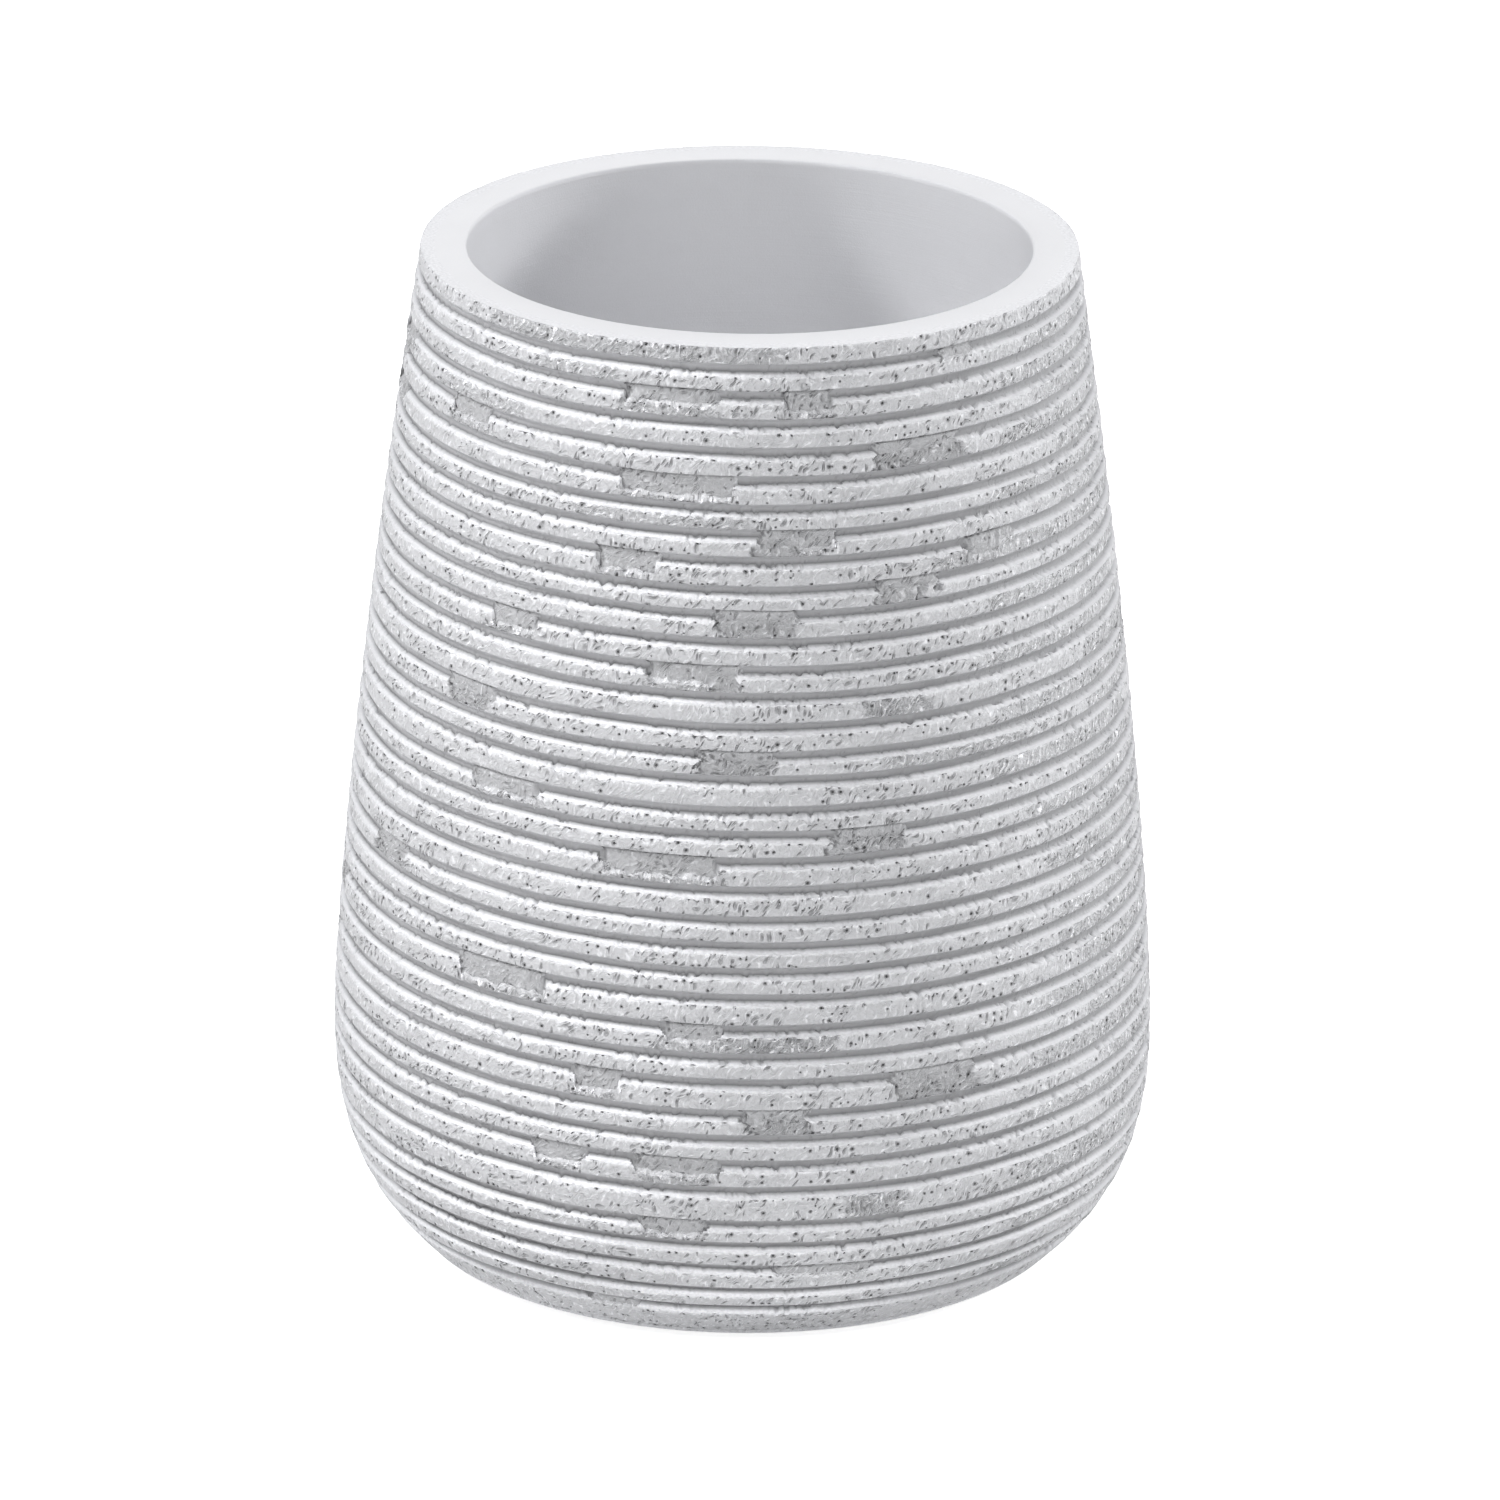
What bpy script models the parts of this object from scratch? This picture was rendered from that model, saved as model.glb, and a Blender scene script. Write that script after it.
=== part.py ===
"""A toothbrush tumbler at its real size, in metres, +Z up.

A one-piece cup of cast resin, smooth inside and at the rim, with horizontal comb marks all round the
outside. It stands on four soft bumper feet, each glued into a shallow round seat in the underside.
The origin is on the surface that the feet stand on, on the axis of the cup.
"""

import itertools
import math

import bmesh
import bpy
from mathutils import Vector
from mathutils.geometry import interpolate_bezier

# The cup: heights are counted from its own underside
CUP_HEIGHT = 0.1046
RIM_DIAMETER = 0.0663
BELLY_DIAMETER = 0.0840
BELLY_HEIGHT = 0.0228
BASE_DIAMETER = 0.0670
WALL = 0.0047
FLOOR_THICKNESS = 0.0060
INSIDE_CORNER_RADIUS = 0.0090
MOUTH_EDGE_RADIUS = 0.0006
RIM_EDGE_RADIUS = 0.0004
BASE_EDGE_RADIUS = 0.0008

# How the outside leans: the change of radius for each unit of height
RIM_LEAN = 0.149
BASE_FLARE = 1.18

# How far each end's direction is kept, as shares of the height below or above the belly
base_handle_share = 0.31
belly_lower_handle_share = 0.29
belly_upper_handle_share = 0.07
rim_handle_share = 0.57

# The comb marks: each groove is cut below a lip, and a plain band is left between two grooves
RIM_BAND_HEIGHT = 0.0016
GROOVE_HEIGHT = 0.0014
GROOVE_DEPTH = 0.0007
BAND_PITCH = 0.0028
BASE_BAND_HEIGHT = 0.0022

# Each step from one lip down to the next, as a share of the pitch: the marks were combed by hand
pitch_shares = (
    0.95, 1.00, 1.00, 1.00, 1.00, 0.90, 0.95, 1.05, 0.85, 1.00, 1.00, 0.95,
    1.10, 1.00, 0.90, 1.10, 0.90, 0.95, 1.05, 1.10, 0.95, 0.95, 0.95, 1.15,
    1.05, 0.95, 1.15, 0.95, 0.95, 1.05, 1.35, 0.90, 1.00, 1.05, 0.90,
)

# A groove's section below its lip: shares of its height, each with a share of its depth
groove_section_shares = ((0.0, 0.0), (0.2, 1.0), (0.8, 0.85), (1.0, 0.0))

# The feet: soft bumpers, each in a seat that leaves room for a film of glue
FOOT_DIAMETER = 0.0080
FOOT_HEIGHT = 0.0020
FOOT_EDGE_RADIUS = 0.0006
SEAT_DEPTH = 0.0013
SEAT_CLEARANCE = 0.0003
SEAT_TO_BASE_EDGE = 0.0044
CUTTER_OVERRUN = 0.0010

# Counts and angles
CUP_SIDES = 32
FOOT_SIDES = 24
OUTLINE_POINTS = 40
INSIDE_STEPS = 8
CORNER_STEPS = 5
EDGE_STEPS = 2
SHARP_ANGLE = math.radians(25)
WELD = 0.000001

stand_off = FOOT_HEIGHT + SEAT_CLEARANCE - SEAT_DEPTH
foot_radius = FOOT_DIAMETER / 2
seat_radius = foot_radius + SEAT_CLEARANCE
foot_circle_radius = BASE_DIAMETER / 2 - BASE_EDGE_RADIUS - SEAT_TO_BASE_EDGE - seat_radius


def clear_scene():
    for old in list(bpy.data.objects):
        bpy.data.objects.remove(old)


def finish(name, colour, roughness, metallic):
    """A plain surface of one colour."""
    made = bpy.data.materials.new(name)
    made.use_nodes = True
    shader = made.node_tree.nodes["Principled BSDF"]
    shader.inputs["Base Color"].default_value = (*colour, 1)
    shader.inputs["Roughness"].default_value = roughness
    shader.inputs["Metallic"].default_value = metallic
    return made


def cup_outline():
    """The smooth outside, before it is combed, as (radius, height) from the base up to the rim."""
    base = Vector((BASE_DIAMETER / 2, 0))
    belly = Vector((BELLY_DIAMETER / 2, BELLY_HEIGHT))
    rim = Vector((RIM_DIAMETER / 2, CUP_HEIGHT))
    lower, upper = BELLY_HEIGHT, CUP_HEIGHT - BELLY_HEIGHT
    below_belly = interpolate_bezier(
        base,
        base + Vector((BASE_FLARE, 1)) * lower * base_handle_share,
        belly - Vector((0, lower * belly_lower_handle_share)),
        belly,
        OUTLINE_POINTS,
    )
    above_belly = interpolate_bezier(
        belly,
        belly + Vector((0, upper * belly_upper_handle_share)),
        rim - Vector((-RIM_LEAN, 1)) * upper * rim_handle_share,
        rim,
        OUTLINE_POINTS,
    )
    return below_belly + above_belly[1:]


outline = cup_outline()


def outside_at(height):
    """The smooth outside's point at this height, and the direction from there into the wall."""
    for lower, upper in zip(outline, outline[1:]):
        if height <= upper.y:
            break
    along = (upper - lower).normalized()
    point = lower.lerp(upper, (height - lower.y) / (upper.y - lower.y))
    return point, Vector((-along.y, along.x))


def arc(centre, radius, start, end, steps):
    """Points on a circle in the (radius, height) plane, by angle in degrees, both ends included."""
    angles = [math.radians(start + (end - start) * i / steps) for i in range(steps + 1)]
    return [centre + radius * Vector((math.cos(a), math.sin(a))) for a in angles]


def inside_profile():
    """From the middle of the floor, round its corner and up the smooth wall to the mouth's edge."""
    corner_top = FLOOR_THICKNESS + INSIDE_CORNER_RADIUS
    wall_top = CUP_HEIGHT - MOUTH_EDGE_RADIUS
    corner_radius = outside_at(corner_top)[0].x - WALL
    corner_centre = Vector((corner_radius - INSIDE_CORNER_RADIUS, corner_top))
    profile = [Vector((0, FLOOR_THICKNESS))]
    profile += arc(corner_centre, INSIDE_CORNER_RADIUS, -90, 0, CORNER_STEPS)
    for i in range(1, INSIDE_STEPS):
        height = corner_top + (wall_top - corner_top) * i / INSIDE_STEPS
        profile.append(Vector((outside_at(height)[0].x - WALL, height)))
    edge_centre = Vector((RIM_DIAMETER / 2 - WALL + MOUTH_EDGE_RADIUS, wall_top))
    return profile + arc(edge_centre, MOUTH_EDGE_RADIUS, 180, 90, EDGE_STEPS)


def groove_lips():
    """The heights of the lips, from the rim down, while a whole groove fits above the base band."""
    lip = CUP_HEIGHT - RIM_BAND_HEIGHT
    for share in itertools.cycle(pitch_shares):
        if lip - GROOVE_HEIGHT < BASE_BAND_HEIGHT:
            return
        yield lip
        lip -= BAND_PITCH * share


def outside_profile():
    """From the rim's edge down over every band and groove, and round the edge of the base."""
    rim_centre = Vector((RIM_DIAMETER / 2 - RIM_EDGE_RADIUS, CUP_HEIGHT - RIM_EDGE_RADIUS))
    profile = arc(rim_centre, RIM_EDGE_RADIUS, 90, 0, EDGE_STEPS)
    for lip in groove_lips():
        for height_share, depth_share in groove_section_shares:
            point, inward = outside_at(lip - GROOVE_HEIGHT * height_share)
            profile.append(point + inward * GROOVE_DEPTH * depth_share)
    base_corner = outline[0]
    base_top = outside_at(BASE_EDGE_RADIUS)[0]
    base_bottom = Vector((base_corner.x - BASE_EDGE_RADIUS, 0))
    profile += interpolate_bezier(base_top, base_corner, base_corner, base_bottom, EDGE_STEPS + 2)
    return profile + [Vector((0, 0))]


def turned(name, profile, sides, material):
    """The solid that this profile sweeps round the Z axis, running up inside and down outside."""
    shape = bmesh.new()
    points = [shape.verts.new((point.x, 0, point.y)) for point in profile]
    edges = [shape.edges.new(pair) for pair in zip(points, points[1:])]
    bmesh.ops.spin(
        shape, geom=points + edges, cent=(0, 0, 0), axis=(0, 0, 1), angle=math.tau, steps=sides
    )
    bmesh.ops.remove_doubles(shape, verts=shape.verts, dist=WELD)
    bmesh.ops.recalc_face_normals(shape, faces=shape.faces)
    mesh = bpy.data.meshes.new(name)
    shape.to_mesh(mesh)
    shape.free()
    mesh.shade_smooth()
    mesh.set_sharp_from_angle(angle=SHARP_ANGLE)
    mesh.materials.append(material)
    made = bpy.data.objects.new(name, mesh)
    bpy.context.scene.collection.objects.link(made)
    return made


def disc_profile(radius, bottom, top):
    return [Vector(point) for point in ((0, top), (radius, top), (radius, bottom), (0, bottom))]


def make_cup(material):
    cup = turned("cup", inside_profile() + outside_profile(), CUP_SIDES, material)
    cup.location.z = stand_off
    return cup


def make_foot(name, place, material):
    """A bumper foot: a disc of soft plastic with a rounded lower edge."""
    edge_centre = Vector((foot_radius - FOOT_EDGE_RADIUS, FOOT_EDGE_RADIUS))
    profile = [Vector((0, FOOT_HEIGHT)), Vector((foot_radius, FOOT_HEIGHT))]
    profile += arc(edge_centre, FOOT_EDGE_RADIUS, 0, -90, EDGE_STEPS)
    foot = turned(name, profile + [Vector((0, 0))], FOOT_SIDES, material)
    foot.location = place
    return foot


def cut_seat(cup, name, place):
    """A shallow round seat in the cup's underside, for one foot."""
    profile = disc_profile(seat_radius, stand_off - CUTTER_OVERRUN, stand_off + SEAT_DEPTH)
    cutter = turned(name + "_seat", profile, FOOT_SIDES, None)
    cutter.location = place
    cutter.hide_render = True
    cutter.display_type = "WIRE"
    cut = cup.modifiers.new(name + "_seat", "BOOLEAN")
    cut.operation = "DIFFERENCE"
    cut.object = cutter
    return cutter


def build():
    clear_scene()
    resin = finish("white_resin", (0.80, 0.80, 0.81), 0.75, 0)
    bumper = finish("bumper_plastic", (0.62, 0.63, 0.64), 0.35, 0)
    holder = bpy.data.objects.new("toothbrush_holder", None)
    bpy.context.scene.collection.objects.link(holder)
    cup = make_cup(resin)
    cup.parent = holder
    corners = {"front_left": 225, "front_right": 315, "back_right": 45, "back_left": 135}
    for corner, degrees in corners.items():
        angle = math.radians(degrees)
        place = Vector((math.cos(angle), math.sin(angle), 0)) * foot_circle_radius
        name = "foot_" + corner
        make_foot(name, place, bumper).parent = holder
        cut_seat(cup, name, place).parent = holder


build()
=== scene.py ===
"""A combed resin toothbrush tumbler on soft feet, dressed for a studio photograph.

In metres, +Z up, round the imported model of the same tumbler. The photograph looks along +Y.
"""

import math
import random
from collections import namedtuple

import bmesh
import bpy
import numpy as np
from mathutils import Matrix, Vector
from mathutils.geometry import interpolate_bezier


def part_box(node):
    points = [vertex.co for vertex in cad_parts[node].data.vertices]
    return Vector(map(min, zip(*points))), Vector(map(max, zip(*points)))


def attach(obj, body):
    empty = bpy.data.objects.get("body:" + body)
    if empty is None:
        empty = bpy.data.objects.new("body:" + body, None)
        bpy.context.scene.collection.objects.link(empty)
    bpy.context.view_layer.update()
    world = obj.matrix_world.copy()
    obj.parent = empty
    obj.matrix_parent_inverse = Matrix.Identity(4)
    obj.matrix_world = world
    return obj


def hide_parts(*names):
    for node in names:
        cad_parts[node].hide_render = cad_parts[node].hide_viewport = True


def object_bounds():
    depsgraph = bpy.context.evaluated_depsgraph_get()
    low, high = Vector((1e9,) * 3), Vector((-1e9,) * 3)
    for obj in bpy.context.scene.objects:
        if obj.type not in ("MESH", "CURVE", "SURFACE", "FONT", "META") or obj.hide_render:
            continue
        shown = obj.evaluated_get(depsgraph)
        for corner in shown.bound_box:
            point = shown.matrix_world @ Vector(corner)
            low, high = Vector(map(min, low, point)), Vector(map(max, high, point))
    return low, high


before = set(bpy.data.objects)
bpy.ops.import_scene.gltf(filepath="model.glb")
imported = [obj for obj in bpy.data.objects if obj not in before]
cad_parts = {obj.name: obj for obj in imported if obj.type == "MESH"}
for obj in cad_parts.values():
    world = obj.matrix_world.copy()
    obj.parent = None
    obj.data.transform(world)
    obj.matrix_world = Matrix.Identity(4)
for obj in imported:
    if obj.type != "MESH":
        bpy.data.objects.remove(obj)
cad_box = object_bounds()
MM = 0.001

# The cup is one casting of white resin, open at the top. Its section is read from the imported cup,
# where a row of vertices runs down the +X side, outside and inside.
WELD = 0.00001


def section(shape, inwards):
    """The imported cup's section from one corner of the flat rim down, as (radius, height) points."""
    side = {v for v in shape.verts if v.co.x > -WELD and abs(v.co.y) < WELD}
    height = max(v.co.z for v in side)
    rim = sorted((v for v in side if v.co.z > height - WELD), key=lambda v: v.co.x, reverse=inwards)
    path = rim
    while True:
        onward = [e.other_vert(path[-1]) for e in path[-1].link_edges]
        onward = [v for v in onward if v in side and v is not path[-2]]
        if not onward or abs(onward[0].co.z - path[-1].co.z) < WELD:
            return [Vector((v.co.x, v.co.z)) for v in path[1:]]
        path.append(onward[0])


casting = bmesh.new()
casting.from_mesh(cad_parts["cup"].data)
bmesh.ops.remove_doubles(casting, verts=casting.verts, dist=WELD)
rim_corner, _, rim_edge, *combed = section(casting, inwards=False)
inside = section(casting, inwards=True)
casting.free()

# The outside was combed while the resin was soft. Each groove is cut in below a smooth lip, slopes out
# again, and ends in a short ledge over the ragged top edge of the next plain band.
# A band is made of rings at these shares of its height, each with its depth in millimetres and its shade,
# which is painted into the resin's colour: 0 on the plain face of a band, about 1 as painted shade in a
# groove, where shade falls, and below 0 on the torn edge over a band, painted white as a highlight on
# resin that is a little paler where torn. The groove below it is made of rings at shares of its height and
# depth, each with its painted shade and how far it follows the ragged edge below. The courses of the wall
# part at the back of a groove, in its BACK_RING.
face_rings = (
    (0.0, 0.05, -1.00), (0.07, 0.01, -0.30), (0.18, 0.0, 0.0), (0.50, 0.0, 0.0),
    (0.75, 0.0, 0.0), (0.93, 0.02, 0.0), (1.0, 0.09, 0.25),
)
groove_rings = (
    (0.04, 0.36, 0.70, 0.0), (0.11, 0.70, 0.85, 0.0), (0.24, 0.95, 1.00, 0.1), (0.42, 1.00, 1.35, 0.5),
    (0.57, 0.96, 1.50, 1.0), (0.64, 0.80, 0.60, 1.0), (0.76, 0.42, -1.05, 1.0), (0.90, 0.16, -1.00, 1.0),
)
BACK_RING = 3

# The resin where it is combed and where it is smooth, how much of its colour a painted shade of 1 takes
# away, and the shade that makes the combed resin as light as the smooth
COMBED_WHITE = (0.662, 0.666, 0.688)
SMOOTH_WHITE = (0.81, 0.814, 0.838)
GROOVE_SHADE = 0.40
FLAT_SHADE = (1 - SMOOTH_WHITE[0] / COMBED_WHITE[0]) / GROOVE_SHADE

# The rim's flat top and the underside carry on a little way inwards before the inner pieces begin
SKIN = 1.5 * MM
FLAT_STEPS = 2

# The photograph shows the rim's outer edge crisper than its imported rounding, and nibbled. These are the
# directions into the wall at the rim's corner and at that edge, and how strongly the edge is marked.
RIM_CRISP = 0.08 * MM
CORNER_INWARD = Vector((-0.2, -1)).normalized()
CRISP_INWARD = Vector((-1, -1)).normalized()
CRISP_FACE = 0.4

# How far the last ring above the edge of the base still moves, where the others move fully
LAST_MOVE = 0.5

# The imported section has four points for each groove, and four for the edge of the base
SECTION_POINTS = 4

# A ring of the wall has its point in the section and the direction into the wall there, the numbers of the
# edges above and below it, where lips are odd and ragged edges even, and its share of the way between
# them, its depth and shade, 1 if it is on the face of a band, and how far it gives way inwards and slides.
Ring = namedtuple("Ring", "point inward above below share depth shade face give slide")


def inward_of(upper, lower):
    """The direction into the wall, square to the way down from one point of the section to another."""
    down = (lower - upper).normalized()
    return Vector((down.y, -down.x))


def plain_ring(point, inward, edge):
    return Ring(point, inward, edge, edge, 0.0, 0.0, FLAT_SHADE, 0.0, 0.0, 0.0)


starts = range(0, len(combed) - SECTION_POINTS, SECTION_POINTS)
grooves = [combed[start : start + SECTION_POINTS] for start in starts]
base_edge = combed[-SECTION_POINTS:]
rim_top = Vector((rim_edge.x, rim_corner.y - RIM_CRISP))
tops = [rim_top] + [groove[3] for groove in grooves]
lips = [groove[0] for groove in grooves] + [base_edge[0]]

rim_seam = rim_corner - Vector((SKIN - (rim_edge.x - rim_corner.x), 0))
base_seam = base_edge[-1] - Vector((SKIN, 0))
rings = [plain_ring(rim_seam.lerp(rim_corner, i / FLAT_STEPS), Vector((0, -1)), 0) for i in range(FLAT_STEPS)]
rings.append(plain_ring(rim_corner, CORNER_INWARD, 0))
crisp = Vector((rim_edge.x - RIM_CRISP, rim_corner.y))
rings.append(plain_ring(crisp, CRISP_INWARD, 0)._replace(face=CRISP_FACE, give=1.0))
course_ends = []
for band, (top, lip) in enumerate(zip(tops, lips)):
    inward = inward_of(top, lip)
    for share, depth, shade in face_rings:
        point = top.lerp(lip, share) + inward * depth * MM
        rings.append(Ring(point, inward, 2 * band, 2 * band + 1, share, depth, shade, 1.0, 1.0, 1.0))
    if band < len(grooves):
        groove = grooves[band]
        inward = inward_of(groove[0], groove[3])
        deepest = (groove[1] - groove[0]).dot(inward) / MM
        for i, (height, depth_share, shade, follow) in enumerate(groove_rings):
            depth = deepest * depth_share
            point = groove[0].lerp(groove[3], height) + inward * depth * MM
            rings.append(Ring(point, inward, 2 * band + 1, 2 * band + 2, follow, depth, shade, 0.0, 1.0, 1.0))
            if i == BACK_RING:
                course_ends.append(len(rings) - 1)
last_edge = 2 * len(grooves) + 1
rings[-1] = rings[-1]._replace(give=LAST_MOVE, slide=LAST_MOVE)
rings += [plain_ring(point, Vector((0, 1)), last_edge) for point in base_edge[1:]]
rings += [
    plain_ring(base_edge[-1].lerp(base_seam, (i + 1) / FLAT_STEPS), Vector((0, 1)), last_edge)
    for i in range(FLAT_STEPS)
]

# Faults of the combed wall, by band from the rim down and by angle in degrees, with 0 at the front and
# + to the right. A chip has taken that share of a band's height from its top edge, a sunk stretch of a
# band lies back whole, a bridge fills the groove above the band, and a torn stretch is rough.
chips = [
    (4, -58, -48, 0.55), (2, -21, -5, 0.35), (2, 6, 14, 0.75), (5, -21, -2, 0.80), (7, 8, 14, 0.60),
    (8, -24, -14, 0.80), (11, -43, -34, 0.70), (12, -15, -4, 0.60), (17, -44, -32, 0.80),
    (19, -21, -4, 0.75), (24, -44, -29, 0.80), (25, -11, -3, 0.50), (27, -24, -17, 0.70),
    (30, -30, -22, 0.60), (30, -15, -3, 0.50), (32, -14, -5, 0.60), (8, 37, 44, 0.75),
]
sunken = [
    (4, 21, 37, 0.22), (7, 2, 8, 0.20), (9, 21, 27, 0.12), (10, -5, 8, 0.24), (14, -51, -41, 0.20),
    (15, -7, 4.6, 0.20), (18, 13, 24, 0.22), (21, -67, -58, 0.20), (27, 21, 34, 0.24), (28, 0, 9, 0.20),
    (12, -5, -1, 0.16), (9, 28, 29, 0.30), (9, 31, 31.6, 0.45),
]
bridges = [(1, 34, 41, 0.10), (8, 38, 47, 0.14), (34, 5, 19, 0.05), (9, 21, 31, 0.10), (36, -24, -16, 0.10)]
torn = [(13, 18, 28, 1.0), (16, 41, 49, 1.0), (25, -3, 13, 1.0), (31, 14, 24, 1.0), (8, 30, 48, 0.8)]
torn += [(0, -50, 8, 0.6), (1, -36, -22, 0.5), (3, -62, -40, 0.5), (6, -30, 0, 0.4), (15, 20, 45, 0.6)]

# Round the right side every band but the first and last is torn, between ends that sway about these angles
combed_bands = range(1, len(grooves))
SIDE_START, START_SWAY, START_PHASE = 52, 12, 3
SIDE_END, END_SWAY, END_PHASE = 106, 28, 5
SIDE_TEAR = 0.5
for band in combed_bands:
    side_start = SIDE_START + START_SWAY * math.sin(START_PHASE * band)
    side_end = SIDE_END + END_SWAY * math.sin(END_PHASE * band)
    torn.append((band, side_start, side_end, SIDE_TEAR))

# The sides and the back, which the photograph doesn't show, get faults of the same kinds: this many of
# each, with its least and greatest amount, at these angles and with these widths in degrees
HAND_SEED = 7
UNSEEN_TURNS = (70, 275)
FAULT_WIDTHS = (5, 17)
hand = random.Random(HAND_SEED)
for kind, count, least, most in (
    (chips, 34, 0.4, 0.85), (sunken, 18, 0.12, 0.25), (bridges, 9, 0.05, 0.15), (torn, 9, 0.5, 0.9)
):
    for _ in range(count):
        start = hand.uniform(*UNSEEN_TURNS)
        band = hand.randrange(combed_bands.start, combed_bands.stop)
        kind.append((band, start, start + hand.uniform(*FAULT_WIDTHS), hand.uniform(least, most)))

# The wall is made of this many columns, each at its angle in degrees
COLUMNS = 1260
turn = np.linspace(-180, 180, COLUMNS, endpoint=False)

# How deep a groove can be above a faultless band and above a chip or a sunk stretch, in millimetres, and
# from which share of the groove's height a sunk stretch of the band below draws it in too
NO_LIMIT = 9.0
CHIP_DEPTH = 0.28
SUNK_FROM_SHARE = 0.5

# The painted shade of chips and sunk stretches, which lie back under the lip, and how much more painted
# shadow lies right below the lip and in the first columns at their left end, how torn they are, and how
# strongly they are marked in the way of a band's face
CHIP_SHADE = 0.55
CHIP_LIP_SHADE = 0.55
CHIP_END_SHADE = 0.9
CHIP_END_COLUMNS = 2
CHIP_ROUGHNESS = 0.8
CHIP_FACE = 0.6

# How much the marks in the resin's skin gain where it is fully torn, and how far they gain so in a chip
TORN_GAIN = 2.4
CHIP_GAIN_SHARE = 0.3

# How far, in degrees, the ends of a fault lean over a band's height and waver from ring to ring, and how
# these differ from fault to fault and with the height in millimetres
LEAN = 1.8
WAVER = 0.45
START_STEP, END_STEP = 5, 7
START_WAVES, END_WAVES = 6, 5


def marks(table, band, ring, plain=0.0):
    """How strong a kind of fault of a band is in each column of this ring."""
    strength = np.full(COLUMNS, plain)
    lean = LEAN * ring.share * ring.face
    height = ring.point.y / MM
    for number, (marked, start, end, amount) in enumerate(table):
        if marked == band:
            start += lean * math.sin(START_STEP * number) + WAVER * math.sin(height * START_WAVES + number)
            end += lean * math.cos(END_STEP * number) + WAVER * math.cos(height * END_WAVES + number)
            strength[(turn - start) % 360 < end - start] = amount
    return strength


# The comb was held a little askew to the rim: the marks lie lower at the right, but not at either end
COMB_SLOPE = math.radians(-0.43)
SLOPE_FADE = 8 * MM

# The painted highlight on the torn edges over the bands is whitest, and the painted shade in the grooves
# darkest, a little left of the front, after the light that falls there; round the back the edges get no
# painted highlight and the grooves less painted shade
PAINTED_LIGHT_TURN = -15
PAINTED_LIGHT_FOCUS = 3
STRIP_SHADE = 0.85
STRIP_GAIN = 0.3
painted_light_strength = ((1 + np.cos(np.radians(turn - PAINTED_LIGHT_TURN))) / 2) ** PAINTED_LIGHT_FOCUS

# Towards the left, where the light comes from, grooves keep more of the painted shade over 1 that their
# tables give, but less right below a lip
LEFT_OFFSET = 10
LEFT_SHADE_GAIN = 2
LIP_SHADE_LOSS = 0.85
leftness = (1 - np.sin(np.radians(turn + LEFT_OFFSET))) / 2

fault_fields = ("shift", "sunk", "limit", "torn")


def faults(ring):
    """What the faults do to a ring: its shift down in millimetres, least and greatest depth, and tears."""
    plain = np.zeros(COLUMNS)
    if ring.above == ring.below:
        return plain, plain, plain + NO_LIMIT, plain
    band = ring.below // 2
    height = (lips[band] - tops[band]).length / MM
    chip, sunk, tear = (marks(table, band, ring) for table in (chips, sunken, torn))
    broken = (chip > 0) | (sunk > 0)
    rough = np.maximum(tear, broken * CHIP_ROUGHNESS)
    if ring.face:
        return chip * height * (1 - ring.share), sunk, plain + NO_LIMIT, rough
    limit = marks(bridges, band, ring, NO_LIMIT)
    limit[broken] = np.minimum(limit, CHIP_DEPTH)[broken]
    return chip * height * ring.share, sunk * (ring.share > SUNK_FROM_SHARE), limit, rough * broken


def behind(ring):
    """The hidden ring that closes a course of the wall behind this one."""
    return plain_ring(ring.point + ring.inward * (SKIN - ring.depth * MM), ring.inward, ring.above)


def surface(loop):
    """The values that the relief and the resin read in each column of these rings, and the painted shade
    there.
    """
    values = {field: np.array([getattr(ring, field) for ring in loop])[:, None] for field in Ring._fields[2:]}
    for field, kinds in zip(fault_fields, zip(*(faults(ring) for ring in loop))):
        values[field] = np.array(kinds)
    in_groove = 1 - values["face"]
    # Painted shade in the grooves and painted highlight on the torn edges, strongest where the light falls
    lip_shade_kept = 1 - LIP_SHADE_LOSS * leftness * (1 - values["share"]) * in_groove
    strip = (STRIP_SHADE + STRIP_GAIN * painted_light_strength) * lip_shade_kept
    darkest = 1 + LEFT_SHADE_GAIN * leftness
    shade = np.minimum(values["shade"], darkest) * np.where(values["shade"] < 0, painted_light_strength, strip)
    shade = np.where(values["slide"] > 0, shade, values["shade"])

    bare, sunk = values["limit"] < NO_LIMIT, values["sunk"] > 0
    low = bare | sunk
    # Chips and sunk stretches get painted shade, with painted shadow right below the lip and at their left
    # ends
    painted_chip_shade = CHIP_SHADE + CHIP_LIP_SHADE * (values["share"] == 0) * in_groove
    shade = np.where(bare, np.minimum(painted_chip_shade, shade + CHIP_SHADE), shade)
    shade = np.where(sunk, painted_chip_shade, shade)
    shade = shade + CHIP_END_SHADE * (low & ~np.roll(low, CHIP_END_COLUMNS, axis=1))
    values["face"] = np.where(low, np.maximum(values["face"], CHIP_FACE), values["face"])
    values["relief"] = values["face"] * (1 + np.where(low, CHIP_GAIN_SHARE, values["torn"]) * TORN_GAIN)
    return values, shade


# How far down the outside each ring lies, in millimetres
steps = [(after.point - before.point).length / MM for before, after in zip(rings, rings[1:])]
fall = np.concatenate([[0], np.cumsum(steps)])


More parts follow.
